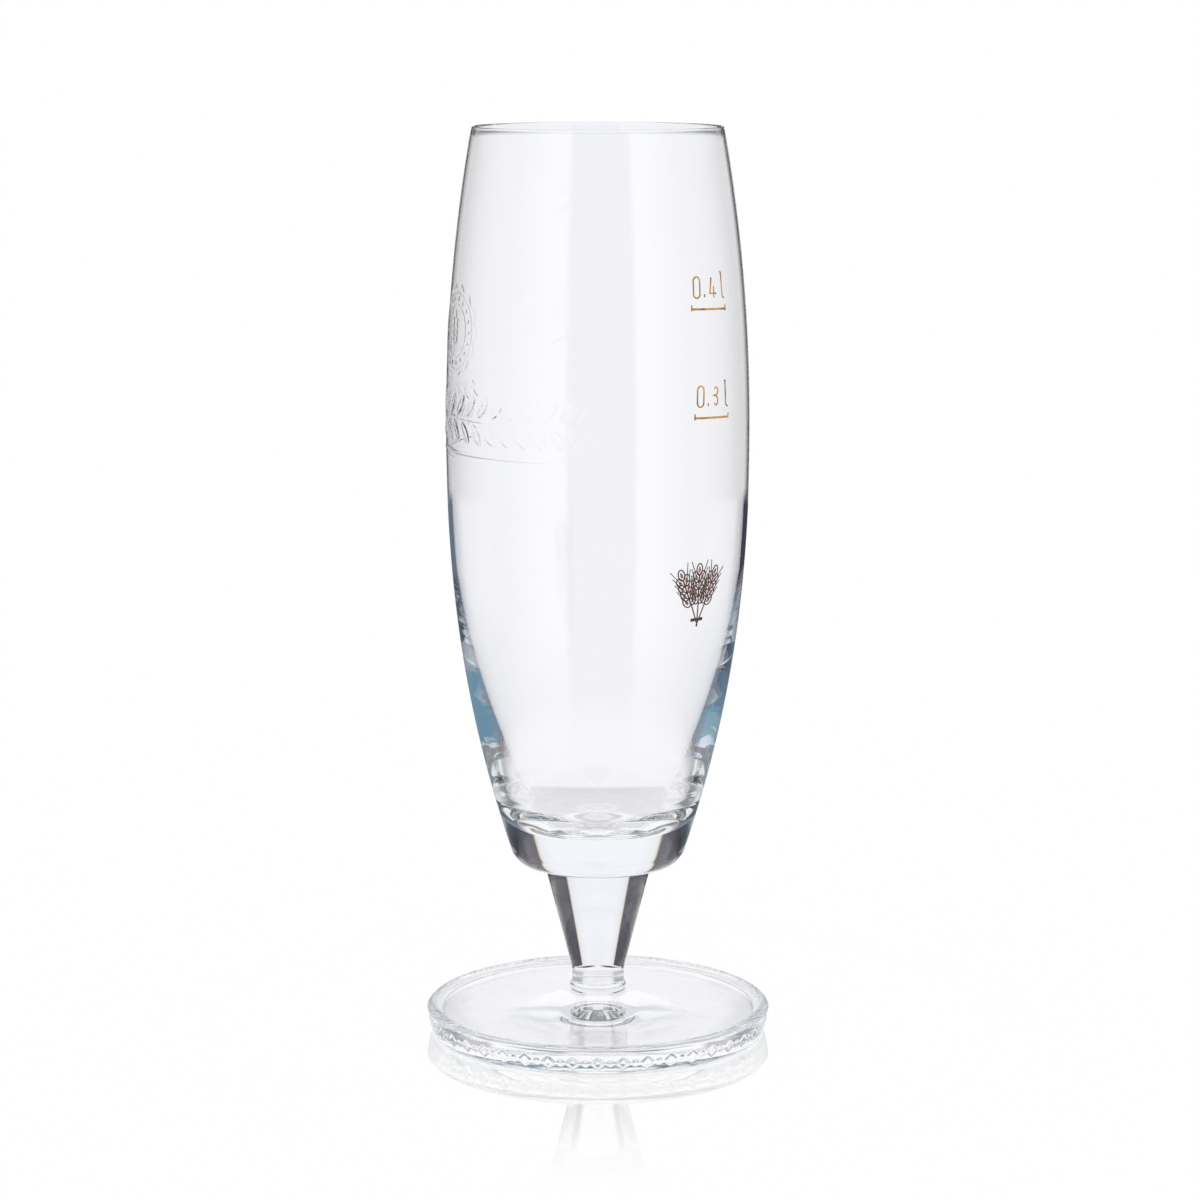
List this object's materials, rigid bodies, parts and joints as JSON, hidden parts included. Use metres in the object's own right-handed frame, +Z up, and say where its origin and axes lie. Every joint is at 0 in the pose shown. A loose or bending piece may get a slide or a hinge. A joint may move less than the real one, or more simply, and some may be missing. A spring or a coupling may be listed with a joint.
{
  "type": "footed beer glass",
  "caption": "Tall footed beer glass: barrel-shaped blown bowl with a heavy solid base, on a short tapered stem and a thick round plate foot, with a fired fill line.",
  "frame": {"origin": "centre of the foot on the table it stands on", "axes": "+Z up along the glass's axis towards the rim; -Y faces the picture's camera"},
  "size_m": [0.0854, 0.0854, 0.224],
  "materials": {
    "bowl_glass": "clear fire-polished glass",
    "stem_glass": "clear fire-polished glass",
    "foot_glass": "clear pressed glass",
    "gold_enamel": "fired gold enamel"
  },
  "bodies": {
    "root": {"bowl": "bowl_glass", "stem": "stem_glass", "foot": "foot_glass", "fill_line_400": "gold_enamel"}
  },
  "joints": []
}
